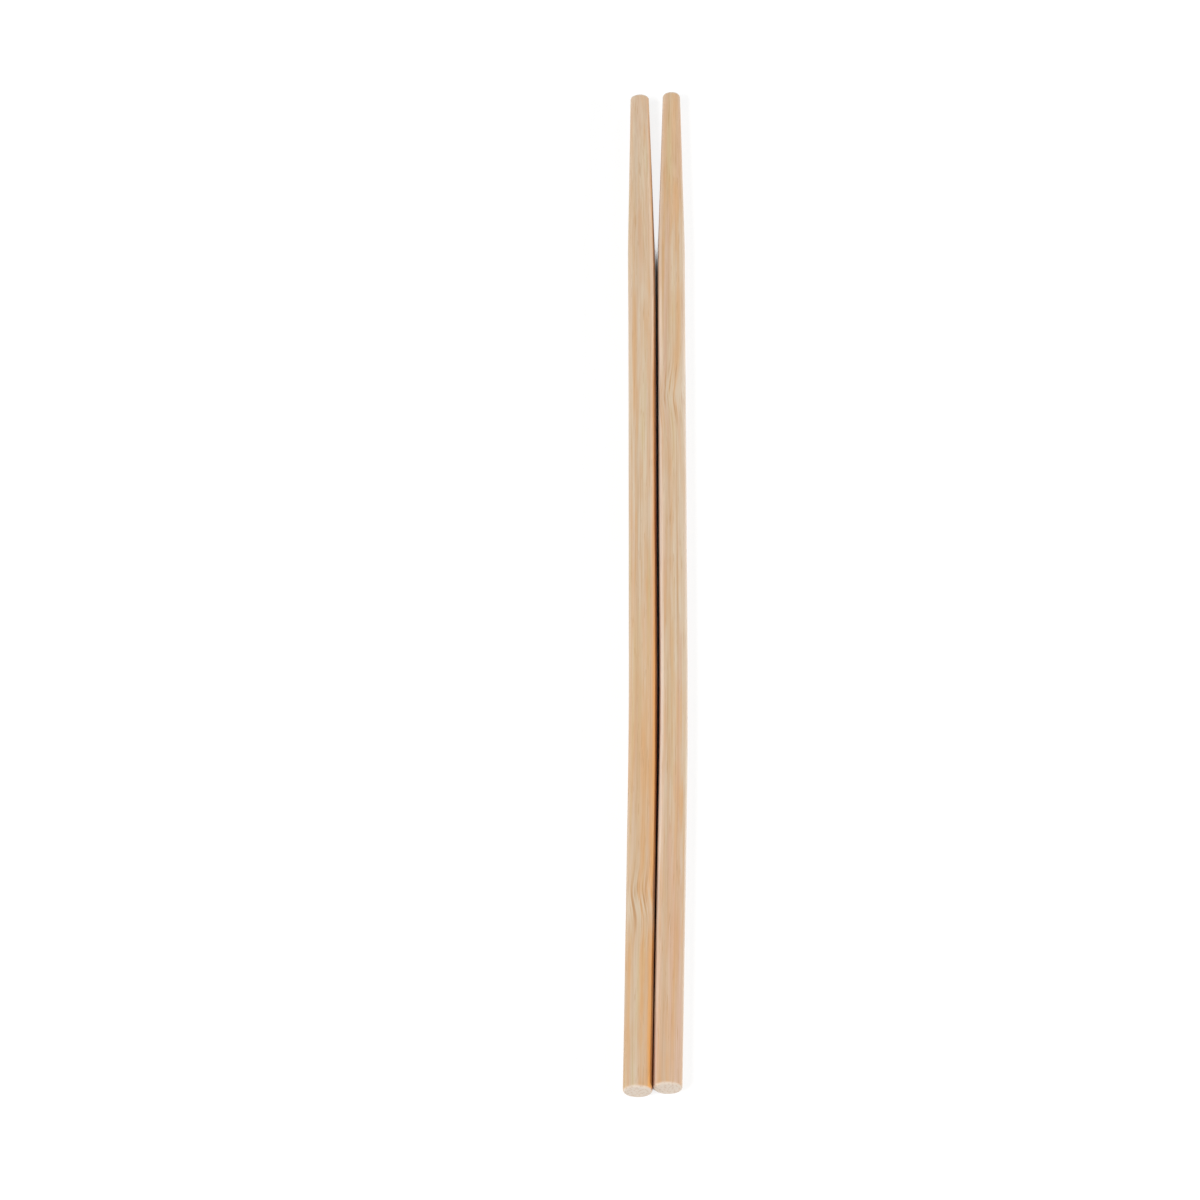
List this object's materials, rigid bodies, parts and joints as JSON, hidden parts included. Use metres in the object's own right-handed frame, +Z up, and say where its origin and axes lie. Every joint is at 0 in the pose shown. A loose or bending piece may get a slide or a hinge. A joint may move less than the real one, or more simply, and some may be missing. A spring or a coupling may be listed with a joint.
{
  "type": "pair of bamboo chopsticks",
  "caption": "Round disposable bamboo chopsticks lying side by side: slim plain shanks with flat sawn handle ends, ground to a taper and a blunt tip for picking up food.",
  "frame": {"origin": "on the table, under the middle of the pair", "axes": "+Y from the handle ends to the tips, +X to the right of someone behind the handles, +Z up from the table"},
  "size_m": [0.0115, 0.2006, 0.005],
  "materials": {
    "left_bamboo": "sanded bare bamboo, pale straw with fine lengthwise fibres",
    "right_bamboo": "sanded bare bamboo, slightly pinker straw with fine lengthwise fibres"
  },
  "bodies": {
    "root": {"left_chopstick": "left_bamboo", "right_chopstick": "right_bamboo"}
  },
  "joints": []
}
